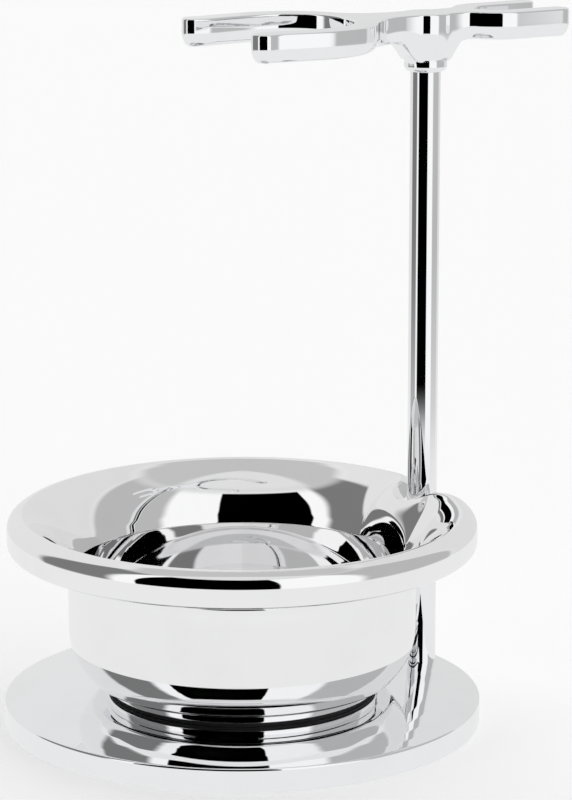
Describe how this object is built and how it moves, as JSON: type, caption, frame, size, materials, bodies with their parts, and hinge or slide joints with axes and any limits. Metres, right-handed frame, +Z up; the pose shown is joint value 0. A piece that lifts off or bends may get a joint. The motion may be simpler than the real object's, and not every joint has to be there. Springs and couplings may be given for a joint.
{
  "type": "shaving stand with bowl",
  "caption": "Polished chrome shaving stand: round base and slim post carry a brush fork and a razor fork, with a lift-off, wide-brimmed lather bowl notched round the post.",
  "frame": {"origin": "centre of the underside of the non-slip pad, on the surface that the stand rests on", "axes": "+Z up; +X from the middle of the base towards the post and the razor fork; the stand is symmetric about the XZ plane"},
  "size_m": [0.1369, 0.11, 0.1614],
  "materials": {
    "polished_chrome": "mirror polished chrome plate",
    "bowl_chrome": "mirror polished chrome plate over spun sheet",
    "plated_steel": "zinc plated",
    "pad_rubber": "matt non-slip sheet",
    "gasket_rubber": "matt"
  },
  "bodies": {
    "stand": {"base_plate": "polished_chrome", "base_pad": "pad_rubber", "post": "polished_chrome", "post_screw": "plated_steel", "lock_washer": "plated_steel", "head_stud": "plated_steel", "holder_head": "polished_chrome"},
    "bowl": {"bowl_shell": "bowl_chrome", "bowl_foot_ring": "bowl_chrome", "bowl_foot_gasket": "gasket_rubber"}
  },
  "joints": [
    {"name": "bowl_draw", "type": "slide", "parent": "stand", "child": "bowl", "axis": [-0.9781, 0, 0.2079], "range_m": [0, 0.115]}
  ]
}
